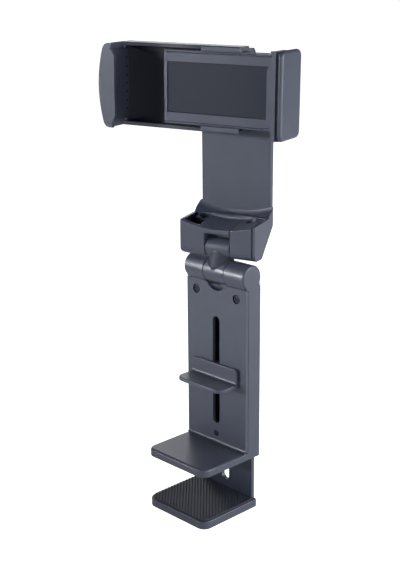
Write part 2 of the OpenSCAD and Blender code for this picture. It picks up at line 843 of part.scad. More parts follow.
module guide_bars() {
  color(slate) in_clamp() for (s = [0, 1]) mirror([0, 0, s])
    box(guide_x - guide_len, guide_x - 0.1, rail_y - guide_t, rail_y, guide_z, guide_top);
}

module rail_stop() {
  x1 = guide_x + stop_len;
  r = 2;
  color(slate) in_clamp() along_y(rail_y - guide_t, rail_y) difference() {
    union() {
      translate([guide_x, guide_z]) square([stop_len - r, guide_top - guide_z]);
      translate([guide_x, guide_z]) square([stop_len, guide_top - guide_z - r]);
      intersection() {
        translate([x1 - r, guide_top - r]) circle(r);
        translate([x1 - r, guide_z]) square([r, guide_top - guide_z]);
      }
    }
    translate([guide_x + 1.2, guide_z + 0.6]) square([4.4, 0.9]);
  }
}

arm_shell();
arm_cover();
cover_screws();
cover_screw_low();
upper_jaw_pad();
hinge_pin_low();
lower_jaw();
lower_jaw_pad();
thumb_tab();
tab_screw();
link_knuckle();
swivel_ring();
link_stem();
hinge_pin_up();
head_shell();
head_front_left();
head_front_right();
tray_screws();
pivot_hub();
pivot_cap();
pivot_screw();
clamp_frame();
clamp_back();
back_screws();
phone_pad();
right_cap();
right_lining();
left_jaw();
left_lining();
guide_bars();
rail_stop();
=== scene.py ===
# %% [markdown]
# # A folding phone holder with a table clamp
#
# The holder is moulded in slate-grey plastic. A flat arm carries two table jaws below, and above
# it a short two-hinge link, a head with a small tray, and a clamp that grips a phone.
# The solids of the part are loaded first. They fix every size and every joint, and this lesson
# gives each piece the soft edges, the rubber and the finish that the real one has.

# %% Load the part
import json
import math

import bmesh
import bpy
from mathutils import Matrix, Vector

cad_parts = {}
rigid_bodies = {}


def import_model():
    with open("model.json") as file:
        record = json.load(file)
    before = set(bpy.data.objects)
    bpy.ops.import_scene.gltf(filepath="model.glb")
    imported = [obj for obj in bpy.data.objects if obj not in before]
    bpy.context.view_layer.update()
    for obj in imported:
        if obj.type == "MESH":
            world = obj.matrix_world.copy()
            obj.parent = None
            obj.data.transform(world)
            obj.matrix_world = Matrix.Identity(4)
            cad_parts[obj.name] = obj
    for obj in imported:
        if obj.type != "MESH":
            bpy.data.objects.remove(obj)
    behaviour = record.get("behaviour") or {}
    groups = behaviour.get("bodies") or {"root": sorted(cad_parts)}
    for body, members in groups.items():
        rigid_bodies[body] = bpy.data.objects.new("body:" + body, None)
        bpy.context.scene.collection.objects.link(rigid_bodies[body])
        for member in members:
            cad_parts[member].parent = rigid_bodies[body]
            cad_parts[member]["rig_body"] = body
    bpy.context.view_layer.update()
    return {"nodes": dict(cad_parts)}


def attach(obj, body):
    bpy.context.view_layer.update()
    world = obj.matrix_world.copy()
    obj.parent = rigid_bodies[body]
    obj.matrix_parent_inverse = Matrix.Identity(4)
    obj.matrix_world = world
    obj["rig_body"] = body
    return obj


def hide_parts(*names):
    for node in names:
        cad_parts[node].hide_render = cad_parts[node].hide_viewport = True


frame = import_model()

# %% [markdown]
# ## Places
#
# All sizes below are in millimetres, as on a drawing, and MM turns them into Blender's metres.
# The head stands on a swivel and is turned by 16 degrees, and the phone clamp sits on a pivot
# higher up. A piece of the head or the clamp is modelled straight, around its own centre, and
# one matrix then turns it into place. That keeps every number readable.

# %% Units and places
MM = 0.001
HEAD_TURN = math.radians(16)
LOW_HINGE = Vector((0, 4.1, 121.6))
LINK = 11.9
PIVOT = 75.0
CLAMP_TILT = math.radians(0.7)

ARM = Matrix.Identity(4)
STEM = Matrix.Translation(LOW_HINGE * MM) @ Matrix.Rotation(HEAD_TURN, 4, "Z")
HEAD = STEM @ Matrix.Translation((0, 0, LINK * MM))
CLAMP = HEAD @ Matrix.Translation((0, 0, PIVOT * MM)) @ Matrix.Rotation(CLAMP_TILT, 4, "Y")
print("clamp pivot at", [round(v, 4) for v in CLAMP.translation])

# %% [markdown]
# ## Camera
#
# The photograph looks down on the holder from its right front. A long lens of 70 mm keeps the
# upright edges almost parallel. The camera comes first, so that each new piece can be compared
# with the photograph at once.

# %% Camera
AZIMUTH, ELEVATION, ROLL = math.radians(45.88), math.radians(16.29), math.radians(-0.44)
camera = bpy.data.objects.new("camera", bpy.data.cameras.new("camera"))
bpy.context.scene.collection.objects.link(camera)
camera.data.lens = 70.11
camera.data.sensor_width = 36
camera.data.clip_end = 20
camera.matrix_world = (
    Matrix.Translation((0.36827, -0.36797, 0.26732))
    @ Matrix.Rotation(AZIMUTH, 4, "Z")
    @ Matrix.Rotation(math.pi / 2 - ELEVATION, 4, "X")
    @ Matrix.Rotation(ROLL, 4, "Z"))
bpy.context.scene.camera = camera

# %% [markdown]
# ## Tools
#
# A few short helpers stand in for what a modeller does by hand: choose one object, add a block
# or a rod at its size and place, pick faces or edges by where they lie, round the picked edges,
# and cut one shape out of another.

# %% Choosing
def use(obj):
    """obj alone is selected and active, in object mode"""
    if bpy.context.object and bpy.context.object.mode != "OBJECT":
        bpy.ops.object.mode_set(mode="OBJECT")
    bpy.ops.object.select_all(action="DESELECT")
    obj.select_set(True)
    bpy.context.view_layer.objects.active = obj


def settle(obj, name):
    """bakes the place of a new primitive into its mesh"""
    obj.name = obj.data.name = name
    use(obj)
    bpy.ops.object.transform_apply(location=True, rotation=True, scale=True)
    return obj


def pick(obj, kind, rule):
    """in edit mode, selects only the faces or edges that the rule accepts"""
    use(obj)
    bpy.ops.object.mode_set(mode="EDIT")
    bpy.ops.mesh.select_mode(type=kind)
    bpy.ops.mesh.select_all(action="DESELECT")
    shape = bmesh.from_edit_mesh(obj.data)
    parts = {"EDGE": shape.edges, "FACE": shape.faces, "VERT": shape.verts}[kind]
    count = 0
    for part in list(parts):
        if rule(part):
            part.select_set(True)
            count += 1
    shape.select_flush_mode()
    bmesh.update_edit_mesh(obj.data)
    return count


def middle(edge):
    """the middle of an edge, in millimetres"""
    return (edge.verts[0].co + edge.verts[1].co) / (2 * MM)


def runs(edge, axis):
    """whether an edge runs along an axis, 0 for X, 1 for Y, 2 for Z"""
    way = edge.verts[1].co - edge.verts[0].co
    return abs(way[axis]) > 0.999 * way.length


def sharp(edge, angle=30):
    """whether two faces meet at an edge at more than an angle"""
    return len(edge.link_faces) == 2 and edge.calc_face_angle(0) > math.radians(angle)


# %% Shaping
def block(name, low, high):
    """a cube primitive between two corners"""
    bpy.ops.object.select_all(action="DESELECT")
    bpy.ops.mesh.primitive_cube_add(
        size=1, location=[(a + b) / 2 * MM for a, b in zip(low, high)])
    bpy.context.object.scale = [(b - a) * MM for a, b in zip(low, high)]
    return settle(bpy.context.object, name)


TURN = {"x": (0, math.pi / 2, 0), "y": (math.pi / 2, 0, 0), "z": (0, 0, 0)}


def rod(name, axis, radius, start, end, at=(0, 0, 0), sides=64):
    """a cylinder primitive along x, y or z, from start to end on that axis"""
    bpy.ops.object.select_all(action="DESELECT")
    place = list(at)
    place["xyz".index(axis)] = (start + end) / 2
    bpy.ops.mesh.primitive_cylinder_add(
        vertices=sides, radius=radius * MM, depth=(end - start) * MM,
        location=[v * MM for v in place], rotation=TURN[axis])
    return settle(bpy.context.object, name)


def round_edges(obj, rule, radius, steps=4, clamp=True):
    """rounds the edges that the rule accepts"""
    if pick(obj, "EDGE", rule):
        bpy.ops.mesh.bevel(offset=radius * MM, segments=steps, affect="EDGES",
                           clamp_overlap=clamp)
    bpy.ops.object.mode_set(mode="OBJECT")


def combine(obj, tool, way="DIFFERENCE"):
    """cuts a tool out of a piece, or joins or intersects the two, and removes the tool"""
    use(obj)
    change = obj.modifiers.new(way.lower(), "BOOLEAN")
    change.operation = way
    change.solver = "EXACT"
    change.object = tool
    bpy.ops.object.modifier_apply(modifier=change.name)
    bpy.data.objects.remove(tool, do_unlink=True)
    return obj


def slot_tool(half, low, high, start, end):
    """an upright slot with round ends, as a tool to cut with"""
    tool = block("slot", (-half, start, low), (half, end, high))
    for z in (low, high):
        combine(tool, rod("slot_end", "y", half, start, end, at=(0, 0, z)), "UNION")
    return tool


def move_in(obj, matrix):
    """carries a finished mesh into its place on the holder"""
    obj.data.transform(matrix)
    obj.data.update()
    return obj


def soften(obj, angle=35):
    """smooth shading that stops at sharp edges and keeps large faces flat"""
    use(obj)
    bpy.ops.object.shade_smooth_by_angle(angle=math.radians(angle))
    even = obj.modifiers.new("even", "WEIGHTED_NORMAL")
    even.keep_sharp = True
    even.weight = 100
    bpy.ops.object.modifier_apply(modifier="even")


# %% Copies of the solids
def copy_solid(node, matrix=ARM):
    """a clean copy of a solid's mesh, turned straight by the inverse of its matrix"""
    source = frame["nodes"][node]
    obj = bpy.data.objects.new(node + "_moulded", source.data.copy())
    bpy.context.scene.collection.objects.link(obj)
    obj.data.materials.clear()
    obj.data.transform(matrix.inverted())
    use(obj)
    bpy.ops.object.mode_set(mode="EDIT")
    bpy.ops.mesh.select_all(action="SELECT")
    bpy.ops.mesh.remove_doubles(threshold=0.002 * MM)
    bpy.ops.mesh.dissolve_limited(angle_limit=math.radians(0.5))
    bpy.ops.object.mode_set(mode="OBJECT")
    return obj


def dress(obj, node, finish, matrix=ARM, dark=None, angle=35, second=None):
    """gives a finished piece its place, material, body and material slot

    The faces that the rule dark accepts before the piece is moved get the second finish, painted
    shade.
    """
    solid = frame["nodes"][node]
    obj.data.materials.clear()
    obj.data.materials.append(finish)
    if dark:
        obj.data.materials.append(second or PAINTED_SHADE)
        for face in obj.data.polygons:
            face.material_index = int(dark(face.center / MM, face.normal))
    move_in(obj, matrix)
    soften(obj, angle)
    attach(obj, solid["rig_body"])
    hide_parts(node)
    print(node, "has", len(obj.data.polygons), "faces")

# %% [markdown]
# ## Finishes
#
# The whole body is injection moulded and has one satin slate finish: two very close tones, a
# fine spark-eroded grain and a gloss that varies a little. Two more finishes of the same plastic
# paint shade: a nearly black one is painted shade on the tongue, in the pocket and in the screw
# seats, and a darker, rougher one with a coarser grain paints shade on the post and cone of the
# link. Two more finishes of the same plastic are guesses from dark places in the photograph: a
# nearly black one for the tongue, the pocket and the screw seats, and a rougher one for the post
# and cone of the link. The grips are soft rubber, darker and duller. The phone pad is a smooth
# silicone sheet. The screws are dark and the axles bare steel. Each finish is a small node tree
# that reads the piece's own coordinates, so it stays in place when the joints move.

# %% Moulded and rubber finishes
# sockets of a Mix node that mixes colours
MIX_A, MIX_B, MIX_OUT = 6, 7, 2
GLOSS_VARIES = 0.05


def moulded(name, low, high, rough, grain, grain_size, sheen=0.5):
    """two close tones, a fine raised grain and a slightly uneven gloss"""
    mat = bpy.data.materials.new(name)
    mat.use_nodes = True
    tree = mat.node_tree
    shader = tree.nodes["Principled BSDF"]
    shader.inputs["Specular IOR Level"].default_value = sheen
    place = tree.nodes.new("ShaderNodeTexCoord")
    clouds = tree.nodes.new("ShaderNodeTexNoise")
    clouds.inputs["Scale"].default_value = 120
    clouds.inputs["Detail"].default_value = 4
    tone = tree.nodes.new("ShaderNodeMix")
    tone.data_type = "RGBA"
    tone.inputs[MIX_A].default_value = (*low, 1)
    tone.inputs[MIX_B].default_value = (*high, 1)
    fine = tree.nodes.new("ShaderNodeTexNoise")
    fine.inputs["Scale"].default_value = 1000 / grain_size
    fine.inputs["Detail"].default_value = 3
    fine.inputs["Roughness"].default_value = 0.6
    bump = tree.nodes.new("ShaderNodeBump")
    bump.inputs["Strength"].default_value = grain
    bump.inputs["Distance"].default_value = 0.05 * MM
    gloss = tree.nodes.new("ShaderNodeMapRange")
    gloss.inputs["To Min"].default_value = rough - GLOSS_VARIES
    gloss.inputs["To Max"].default_value = rough + GLOSS_VARIES
    link = tree.links.new
    link(place.outputs["Object"], clouds.inputs["Vector"])
    link(place.outputs["Object"], fine.inputs["Vector"])
    link(clouds.outputs["Fac"], tone.inputs["Factor"])
    link(tone.outputs[MIX_OUT], shader.inputs["Base Color"])
    link(clouds.outputs["Fac"], gloss.inputs["Value"])
    link(gloss.outputs["Result"], shader.inputs["Roughness"])
    link(fine.outputs["Fac"], bump.inputs["Height"])
    link(bump.outputs["Normal"], shader.inputs["Normal"])
    return mat


SLATE = moulded("slate_plastic", (0.032, 0.037, 0.056), (0.041, 0.048, 0.071), 0.37, 0.12, 0.35)
# nearly black: painted shade for recesses and for the tongue behind the phone
PAINTED_SHADE = moulded("painted_shade_plastic", (0.004, 0.005, 0.010), (0.006, 0.007, 0.014), 0.50, 0.10, 0.3,
                sheen=0.15)
# darker than the slate: painted shade on the link's post and cone, with a coarser real grain
SHADED = moulded("textured_painted_shade_plastic", (0.024, 0.028, 0.040), (0.036, 0.041, 0.056), 0.58, 0.5, 0.6,
                 sheen=0.2)
RUBBER = moulded("dark_rubber", (0.017, 0.020, 0.030), (0.026, 0.031, 0.045), 0.45, 0.35, 0.5,
                 sheen=0.5)
PAD = moulded("pad_rubber", (0.011, 0.013, 0.023), (0.014, 0.016, 0.028), 0.55, 0.10, 0.25,
              sheen=0.2)


# %% Metal finishes
def metal(name, low, high, rough, along="z"):
    """bare or coated metal with fine turning marks"""
    mat = moulded(name, low, high, rough, 0.25, 0.6)
    tree = mat.node_tree
    tree.nodes["Principled BSDF"].inputs["Metallic"].default_value = 0.9
    stretch = tree.nodes.new("ShaderNodeMapping")
    stretch.inputs["Scale"].default_value = [0.15 if a == along else 1 for a in "xyz"]
    fine = tree.nodes["Noise Texture.001"]
    tree.links.new(tree.nodes["Texture Coordinate"].outputs["Object"], stretch.inputs["Vector"])
    tree.links.new(stretch.outputs["Vector"], fine.inputs["Vector"])
    return mat


SCREW = metal("dark_screw", (0.035, 0.037, 0.050), (0.06, 0.063, 0.080), 0.28)
STEEL = metal("steel_pin", (0.38, 0.38, 0.39), (0.50, 0.50, 0.51), 0.30, "x")

# %% [markdown]
# ## The arm
#
# The rear housing, the upper jaw and the two outer hinge barrels are one moulding. Its solid
# has every wall already, so a copy of it is taken and only its edges are softened: the rim of
# the jaw, which a hand meets, gets a large radius, the barrels a smaller one, and the rest a
# hairline of light. A bisect first ends the large radius just before the cover.

# %% Housing with the upper jaw
# underside and top of the upper jaw, and half the arm's width
JAW_LOW, JAW_TOP, HALF = 27.9, 31.9, 20.5
arm = copy_solid("arm_shell")
pick(arm, "FACE", lambda f: f.calc_center_median().z < 32 * MM)
bpy.ops.mesh.bisect(plane_co=(0, -1.3 * MM, 0), plane_no=(0, 1, 0))
round_edges(arm, lambda e: sharp(e) and abs(middle(e).z - JAW_TOP) < 0.01
            and middle(e).y < -1.4, 1.2, 5)
round_edges(arm, lambda e: sharp(e) and abs(middle(e).z - JAW_LOW) < 0.01
            and (abs(middle(e).x) > HALF - 4 or middle(e).y < -26), 0.5, 3)
for side in (-1, 1):
    ends = sorted((side * (HALF - 1.2), side * (HALF + 1)))
    rim = rod("rim", "x", 8, *ends, at=LOW_HINGE)
    end = rod("end", "x", 6.4, *sorted((side * 17, side * HALF)), at=LOW_HINGE, sides=96)
    round_edges(end, lambda e: abs(middle(e).x) > HALF - 0.01, 1.2, 6)
    combine(rim, end)
    combine(rim, block("keep", (-22, 0.3, 108), (22, 9.4, 118.2)))
    combine(rim, block("keep", (-22, -6, 108), (22, 13, 116.4)))
    combine(arm, rim)
dress(arm, "arm_shell", SLATE)

# %% [markdown]
# ## Front cover
#
# The cover is a flat plate screwed on the housing. It starts as a block, and everything is cut
# out of it as a tool would: the round notch at the top, the long slot for the thumb tab, and
# the sunk seats of the screws, which get painted shade and are nearly black inside. A hollow
# strip at its foot runs out onto the jaw.

# %% Cover plate
# half width, thickness and top of the cover
COVER = (20.35, 1.8, 116)
# places of the cover's screws
TOP_SCREW_X, TOP_SCREW_Z, LOW_SCREW_Z = 13.7, 110.7, 36.9
cover = block("arm_cover_moulded", (-COVER[0], 0, JAW_TOP), COVER)
combine(cover, rod("notch", "y", 7.2, -1, 3, at=(0, 0, COVER[2] + 3.4), sides=120))
combine(cover, slot_tool(2.4, 44.8, 96.7, -1, 3))
SEATS = ((-TOP_SCREW_X, TOP_SCREW_Z, 2.35), (TOP_SCREW_X, TOP_SCREW_Z, 2.35),
         (0, LOW_SCREW_Z, 1.6))
for x, z, r in SEATS:
    combine(cover, rod("seat", "y", r, -1, 0.9, at=(x, 0, z)))
round_edges(cover, lambda e: sharp(e) and abs(middle(e).y) < 0.01
            and (abs(middle(e).x) > 20.3 or middle(e).z > COVER[2] - 3.2
                 and (middle(e) - Vector((0, 0, COVER[2] + 3.4))).length > 7), 0.45, 3)
round_edges(cover, lambda e: sharp(e) and abs(middle(e).y) < 0.01 and middle(e).z > 34
            and abs(middle(e).x) < 16.2, 0.2, 2)
strip = block("strip", (-COVER[0], -1.1, JAW_TOP), (COVER[0], 0.4, JAW_TOP + 1.1))
combine(strip, rod("hollow", "x", 1.53, -22, 22, at=(0, -1.485, JAW_TOP + 1.485)))
combine(cover, strip, "UNION")
combine(cover, rod("barrel", "x", 6.6, -22, 22, at=LOW_HINGE, sides=96))
combine(cover, rod("knuckle", "x", 7.19, -7.2, 7.2, at=LOW_HINGE, sides=96))
# painted shade: the sunk screw seats are nearly black inside
dress(cover, "arm_cover", SLATE, dark=lambda c, n: 0.25 < c.y < 0.95 and any(
    math.hypot(c.x - x, c.z - z) < r + 0.1 for x, z, r in SEATS))

# %% [markdown]
# ## Screws
#
# All screws are of one kind, in several sizes: a low round head with a softened rim, a cross
# recess and a plain shank. One is modelled standing upright with its head at the origin, and
# the others of its size are copies of its mesh, each carried to its place by its own matrix.

# %% A screw and its copies
def screw(head, high, shank, length, cross):
    """an upright screw, the top of its head at the origin"""
    body = rod("screw", "z", head, -high, 0, sides=40)
    round_edges(body, lambda e: sharp(e) and middle(e).z > -0.01, min(0.35, high * 0.45), 4)
    for wide, deep in ((cross, cross / 4), (cross / 4, cross)):
        combine(body, block("recess", (-wide, -deep, -0.5), (wide, deep, 1)))
    combine(body, rod("shank", "z", shank, -length, -high / 2, sides=24), "UNION")
    return body


def repeat(obj, name, places):
    """one piece made of copies of obj, each with its own mesh, at the given matrices"""
    copies = []
    for place in places:
        twin = bpy.data.objects.new(name, obj.data.copy())
        bpy.context.scene.collection.objects.link(twin)
        copies.append(move_in(twin, place))
    bpy.data.objects.remove(obj, do_unlink=True)
    use(copies[0])
    for twin in copies:
        twin.select_set(True)
    bpy.ops.object.join()
    copies[0].name = copies[0].data.name = name
    return copies[0]


def at(x, y, z):
    """a place in millimetres as a matrix"""
    return Matrix.Translation(Vector((x, y, z)) * MM)


FACE_FRONT = Matrix.Rotation(math.pi / 2, 4, "X")
FACE_BACK = Matrix.Rotation(-math.pi / 2, 4, "X")
# tightened screws stop at different angles
ASKEW = Matrix.Rotation(math.radians(35), 4, "Z")
TAB_SCREW_Z = 71.6

# %% Screws of the arm
heads = repeat(screw(1.9, 0.65, 0.97, 7.8, 1.2), "cover_screws_made",
               [at(-TOP_SCREW_X, 0.25, TOP_SCREW_Z) @ FACE_FRONT,
                at(TOP_SCREW_X, 0.25, TOP_SCREW_Z) @ FACE_FRONT @ ASKEW])
# painted shade: the floors of the cross recesses are nearly black
dress(heads, "cover_screws", SCREW, dark=lambda c, n: n.y < -0.9 and c.y > 0.7)
small = repeat(screw(1.3, 0.7, 0.7, 6.3, 0.8), "cover_screw_low_made",
               [at(0, 0.2, LOW_SCREW_Z) @ FACE_FRONT @ ASKEW])
dress(small, "cover_screw_low", SCREW)
hidden = repeat(screw(2, 0.9, 0.97, 6.7, 1.1), "tab_screw_made",
                [at(0, 8.3, TAB_SCREW_Z) @ FACE_BACK])
dress(hidden, "tab_screw", SCREW)

# %% [markdown]
# ## Lower jaw and its knurled rubber
#
# The lower jaw is a flat plate with an upright behind it that slides in the arm. Two blocks are
# rounded and joined, and the long slot is cut. The rubber on top is ribbed on a slant, so that
# a table edge can't slip: a block is cut into narrow strips, every second ridge is lifted, the
# whole is turned by 45 degrees and then cut to the outline of the jaw.

# %% Jaw plate and upright
jaw_plate = block("lower_jaw_moulded", (-HALF, -29.1, 0), (HALF, 8.6, 4.4))
round_edges(jaw_plate, lambda e: runs(e, 2) and middle(e).y < 0, 4.6, 12)
round_edges(jaw_plate, lambda e: runs(e, 2) and middle(e).y > 8, 1.2, 4)
round_edges(jaw_plate, lambda e: sharp(e), 0.6, 3)
upright = block("upright", (-18.5, 6.4, 1.4), (18.5, 8.6, 84))
round_edges(upright, lambda e: runs(e, 1) and middle(e).z > 80, 2, 8)
round_edges(upright, lambda e: sharp(e) and middle(e).z > 5, 0.3, 2)
combine(upright, slot_tool(2.6, 11.6, 59.4, 5, 10))
combine(upright, rod("screw_seat", "y", 2.1, 7.4, 10, at=(0, 0, TAB_SCREW_Z)))
combine(jaw_plate, upright, "UNION")


# %% Ribbed rubber
def slab(name, half, front, back, low, high, corner):
    """a flat slab with rounded front corners"""
    obj = block(name, (-half, front, low), (half, back, high))
    round_edges(obj, lambda e: runs(e, 2) and middle(e).y < (front + back) / 2, corner, 10)
    return obj


def ribbed(name, low, high, rise, side, pitch=0.75, span=30, centre=-11):
    """a sheet with fine slanted ribs on one side, 1 for the top and -1 for the underside"""
    sheet = block(name, (-span, centre - span, low), (span, centre + span, high))
    pick(sheet, "EDGE", lambda e: runs(e, 0))
    bpy.ops.mesh.subdivide(number_cuts=int(2 * span / pitch) - 1)
    step = 2 * span / int(2 * span / pitch)
    face = high if side > 0 else low
    pick(sheet, "VERT", lambda v: abs(v.co.z / MM - face) < 0.01
         and round((v.co.x / MM + span) / step) % 2)
    bpy.ops.transform.translate(value=(0, 0, side * rise * MM))
    bpy.ops.mesh.select_all(action="SELECT")
    # without a window this operator turns the other way round, so minus gives the slant wanted
    bpy.ops.transform.rotate(value=math.radians(-45), orient_axis="Z",
                             center_override=(0, centre * MM, 0))
    bpy.ops.object.mode_set(mode="OBJECT")
    return sheet


lower_rubber = ribbed("lower_jaw_pad_knurled", 3.9, 4.85, 0.4, 1)
combine(lower_rubber, slab("outline", 19.5, -28.1, 5.8, 3, 6, 3.6), "INTERSECT")
dress(lower_rubber, "lower_jaw_pad", RUBBER)
combine(jaw_plate, slab("pocket", 19.5, -28.1, 5.8, 3.9, 6, 3.6))
dress(jaw_plate, "lower_jaw", SLATE)
upper_rubber = ribbed("upper_jaw_pad_knurled", 27.85, 28.8, 0.4, -1)
combine(upper_rubber, slab("outline", 18, -27.6, -1, 27, 30, 3.2), "INTERSECT")
dress(upper_rubber, "upper_jaw_pad", RUBBER)

# %% [markdown]
# ## Thumb tab
#
# The tab is a small L of plate and ledge in front of the cover. Its stem passes through the
# slot and is screwed to the upright of the lower jaw, so that a thumb can close the clamp.
# Plate, ledge and stem are blocks, rounded first and then joined, and a hollow strip fills the
# inner corner of the L.

# %% Tab with its ledge
TAB_HALF, TAB_LOW, LEDGE_TOP = 15.6, 65.4, 67.4
tab = block("thumb_tab_moulded", (-TAB_HALF, -1.8, TAB_LOW), (TAB_HALF, -0.3, 75.2))
round_edges(tab, lambda e: runs(e, 1) and middle(e).z > 75, 2, 8)
round_edges(tab, lambda e: sharp(e) and middle(e).z > 66, 0.35, 3)
ledge = block("ledge", (-TAB_HALF, -13.4, TAB_LOW), (TAB_HALF, -0.3, LEDGE_TOP))
round_edges(ledge, lambda e: runs(e, 2) and middle(e).y < -13, 4.4, 12)
round_edges(ledge, lambda e: sharp(e) and middle(e).y < -0.5, 0.5, 4)
combine(tab, ledge, "UNION")
strip = block("strip", (-15.2, -2.8, LEDGE_TOP), (15.2, -1.4, 68.4))
combine(strip, rod("hollow", "x", 1.39, -17, 17, at=(0, -3.15, 68.75)))
combine(tab, strip, "UNION")
combine(tab, block("stem", (-2.1, -0.5, 67.6), (2.1, 6.4, 74.8)), "UNION")
dress(tab, "thumb_tab", SLATE)

# %% [markdown]
# ## Link
#
# The link is two short barrels on top of each other, crosswise in small. The lower one turns on
# the arm's axle, and its socket holds the swivel cone of the upper one, with a spring ring in a
# groove. Both are copies of their solids with softened end edges. The post of the socket and
# the cone have the rougher finish, which paints shade on them with a darker tone. The steel
# axles have flat heads on the left side, so they are made like rivets.

# %% Barrels, ring and axles
knuckle = copy_solid("link_knuckle")
round_edges(knuckle, lambda e: sharp(e) and abs(abs(middle(e).x) - 6.9) < 0.01
            and (middle(e) - Vector((middle(e).x, *LOW_HINGE.yz))).length > 5, 0.3, 3)
# painted shade, with a coarser grain, on the post of the socket
dress(knuckle, "link_knuckle", SLATE, angle=15, second=SHADED,
      dark=lambda c, n: abs(n.z) < 0.02 and abs(n.x) < 0.99 and c.z > LOW_HINGE.z + 0.1
      and math.hypot(c.x, c.y - LOW_HINGE.y) > 6)
dress(copy_solid("swivel_ring"), "swivel_ring", STEEL)
neck_stem = copy_solid("link_stem", STEM)
round_edges(neck_stem, lambda e: sharp(e) and abs(abs(middle(e).x) - 6.6) < 0.01
            and (middle(e) - Vector((middle(e).x, 0, LINK))).length > 4, 0.3, 3)
# painted shade, with a coarser grain, on the cone below the upper barrel
dress(neck_stem, "link_stem", SLATE, STEM, second=SHADED,
      dark=lambda c, n: abs(n.z) < 0.6 and abs(n.x) < 0.999 and c.z < LINK - 2
      and math.hypot(c.x, c.y) > 3.3 and abs(math.hypot(c.y, c.z - LINK) - 5) > 0.15)


def axle(name, radius, start, end, head, head_start, head_end):
    """a pin along X with a low flat head on its left"""
    pin = rod(name, "x", radius, start, end)
    round_edges(pin, lambda e: sharp(e) and middle(e).x > 0, 0.3, 3)
    cap = rod("head", "x", head, head_start, head_end)
    round_edges(cap, lambda e: sharp(e) and middle(e).x < head_start + 0.01, 0.2, 3)
    return combine(pin, cap, "UNION")


low_axle = axle("hinge_pin_low_made", 1.6, -20.0, 18.3, 2.55, -20.3, -19.5)
dress(low_axle, "hinge_pin_low", STEEL, Matrix.Translation(LOW_HINGE * MM))
up_axle = axle("hinge_pin_up_made", 1.5, -19.9, 17.5, 2.45, -20.2, -19.4)
dress(up_axle, "hinge_pin_up", STEEL, HEAD)

# %% [markdown]
# ## Head
#
# The head is the small tray under the phone clamp, with the tall neck plate behind it. The
# front of the tray is closed by two pieces with a fine seam between them, over the slot in
# which the link swings. The shapes are copied and softened: the corners that point to the
# viewer catch a bright line in the photograph, so they get the larger radius. Two shallow
# marks are cut at the foot of the neck plate, and the small pocket gets painted shade and is
# nearly black inside.

# %% Head shell and its two front pieces
def outside(e):
    """whether an edge of the head lies on its outer sides"""
    m = middle(e)
    return abs(m.x) > 20.4 or m.y < -4.8 or m.y > 17.2 or m.z < -4


def in_pocket(c, n):
    """whether a face of the head's front is a wall or the floor of the pocket"""
    if not (-19.1 < c.x < -10 and c.z > 6.5):
        return False
    return c.z < 7.5 or -3.5 < c.y < 7.9 and c.z < 13 and n.z < 0.6


shell = copy_solid("head_shell", HEAD)
round_edges(shell, lambda e: sharp(e, 40) and middle(e).z > 20
            and e.calc_length() > 0.5 * MM, 0.5, 3)
round_edges(shell, lambda e: sharp(e, 25) and middle(e).z < 20 and outside(e), 0.4, 3)
for x0, x1 in ((-4.2, -0.7), (1.3, 4.1)):
    combine(shell, block("mark", (x0, 13, 16.1), (x1, 14.55, 16.7)))
dress(shell, "head_shell", SLATE, HEAD)
for node in ("head_front_left", "head_front_right"):
    front = copy_solid(node, HEAD)
    round_edges(front, lambda e: sharp(e, 60) and middle(e).y < -5.2, 0.45, 5, clamp=False)
    # painted shade: the walls and floor of the pocket are nearly black
    dress(front, node, SLATE, HEAD, dark=in_pocket, angle=20)

# %% Tray screws
tray = repeat(screw(2.2, 1.2, 0.97, 9.6, 1.2), "tray_screws_made",
              [at(-13, 5.6, 12.2), at(13, 5.6, 12.2) @ ASKEW])
dress(tray, "tray_screws", SCREW, HEAD)

# %% [markdown]
# ## Pivot
#
# Behind the clamp a flanged hub turns in the neck plate, and a chamfered cap and one screw
# hold it. They are turned parts, so cylinders with rounded rims are enough.

# %% Hub, cap and screw
hub = rod("pivot_hub_made", "y", 9, 13.2, 14.2)
combine(hub, rod("barrel", "y", 5, 13.7, 17.4), "UNION")
combine(hub, rod("bore", "y", 1.3, 12, 19, sides=32))
round_edges(hub, lambda e: sharp(e) and middle(e).y < 14.3
            and (middle(e) - Vector((0, middle(e).y, 0))).length > 8, 0.2, 3)
dress(hub, "pivot_hub", SLATE, CLAMP)
back_cap = rod("pivot_cap_made", "y", 8.5, 17.4, 19.2, sides=96)
round_edges(back_cap, lambda e: sharp(e) and middle(e).y > 19.1, 0.8, 5)
combine(back_cap, rod("seat", "y", 2.5, 18.3, 21))
combine(back_cap, rod("bore", "y", 1.3, 17, 19, sides=32))
dress(back_cap, "pivot_cap", SLATE, CLAMP)
centre = repeat(screw(2.4, 0.7, 1.2, 7.9, 1.2), "pivot_screw_made",
                [at(0, 19.0, 0) @ FACE_BACK])
dress(centre, "pivot_screw", SCREW, CLAMP)

# %% [markdown]
# ## Phone clamp
#
# The frame carries the phone pad and the right jaw, and the left jaw slides out of it on two
# rails. The frame and the sliding jaw are copied from their solids and softened. The pad, the
# linings, the end cap and the guide bars are simple forms, so they are built from blocks. The
# end cap has the largest radius of the clamp, which gives the broad line of light in front.
# The front of the sliding jaw's tongue, behind the phone, gets painted shade and is nearly black.

# %% Frame
clamp_front = copy_solid("clamp_frame", CLAMP)
round_edges(clamp_front, lambda e: sharp(e, 40) and e.calc_length() > 1 * MM
            and middle(e).y < 9, 0.25, 3)
dress(clamp_front, "clamp_frame", SLATE, CLAMP)

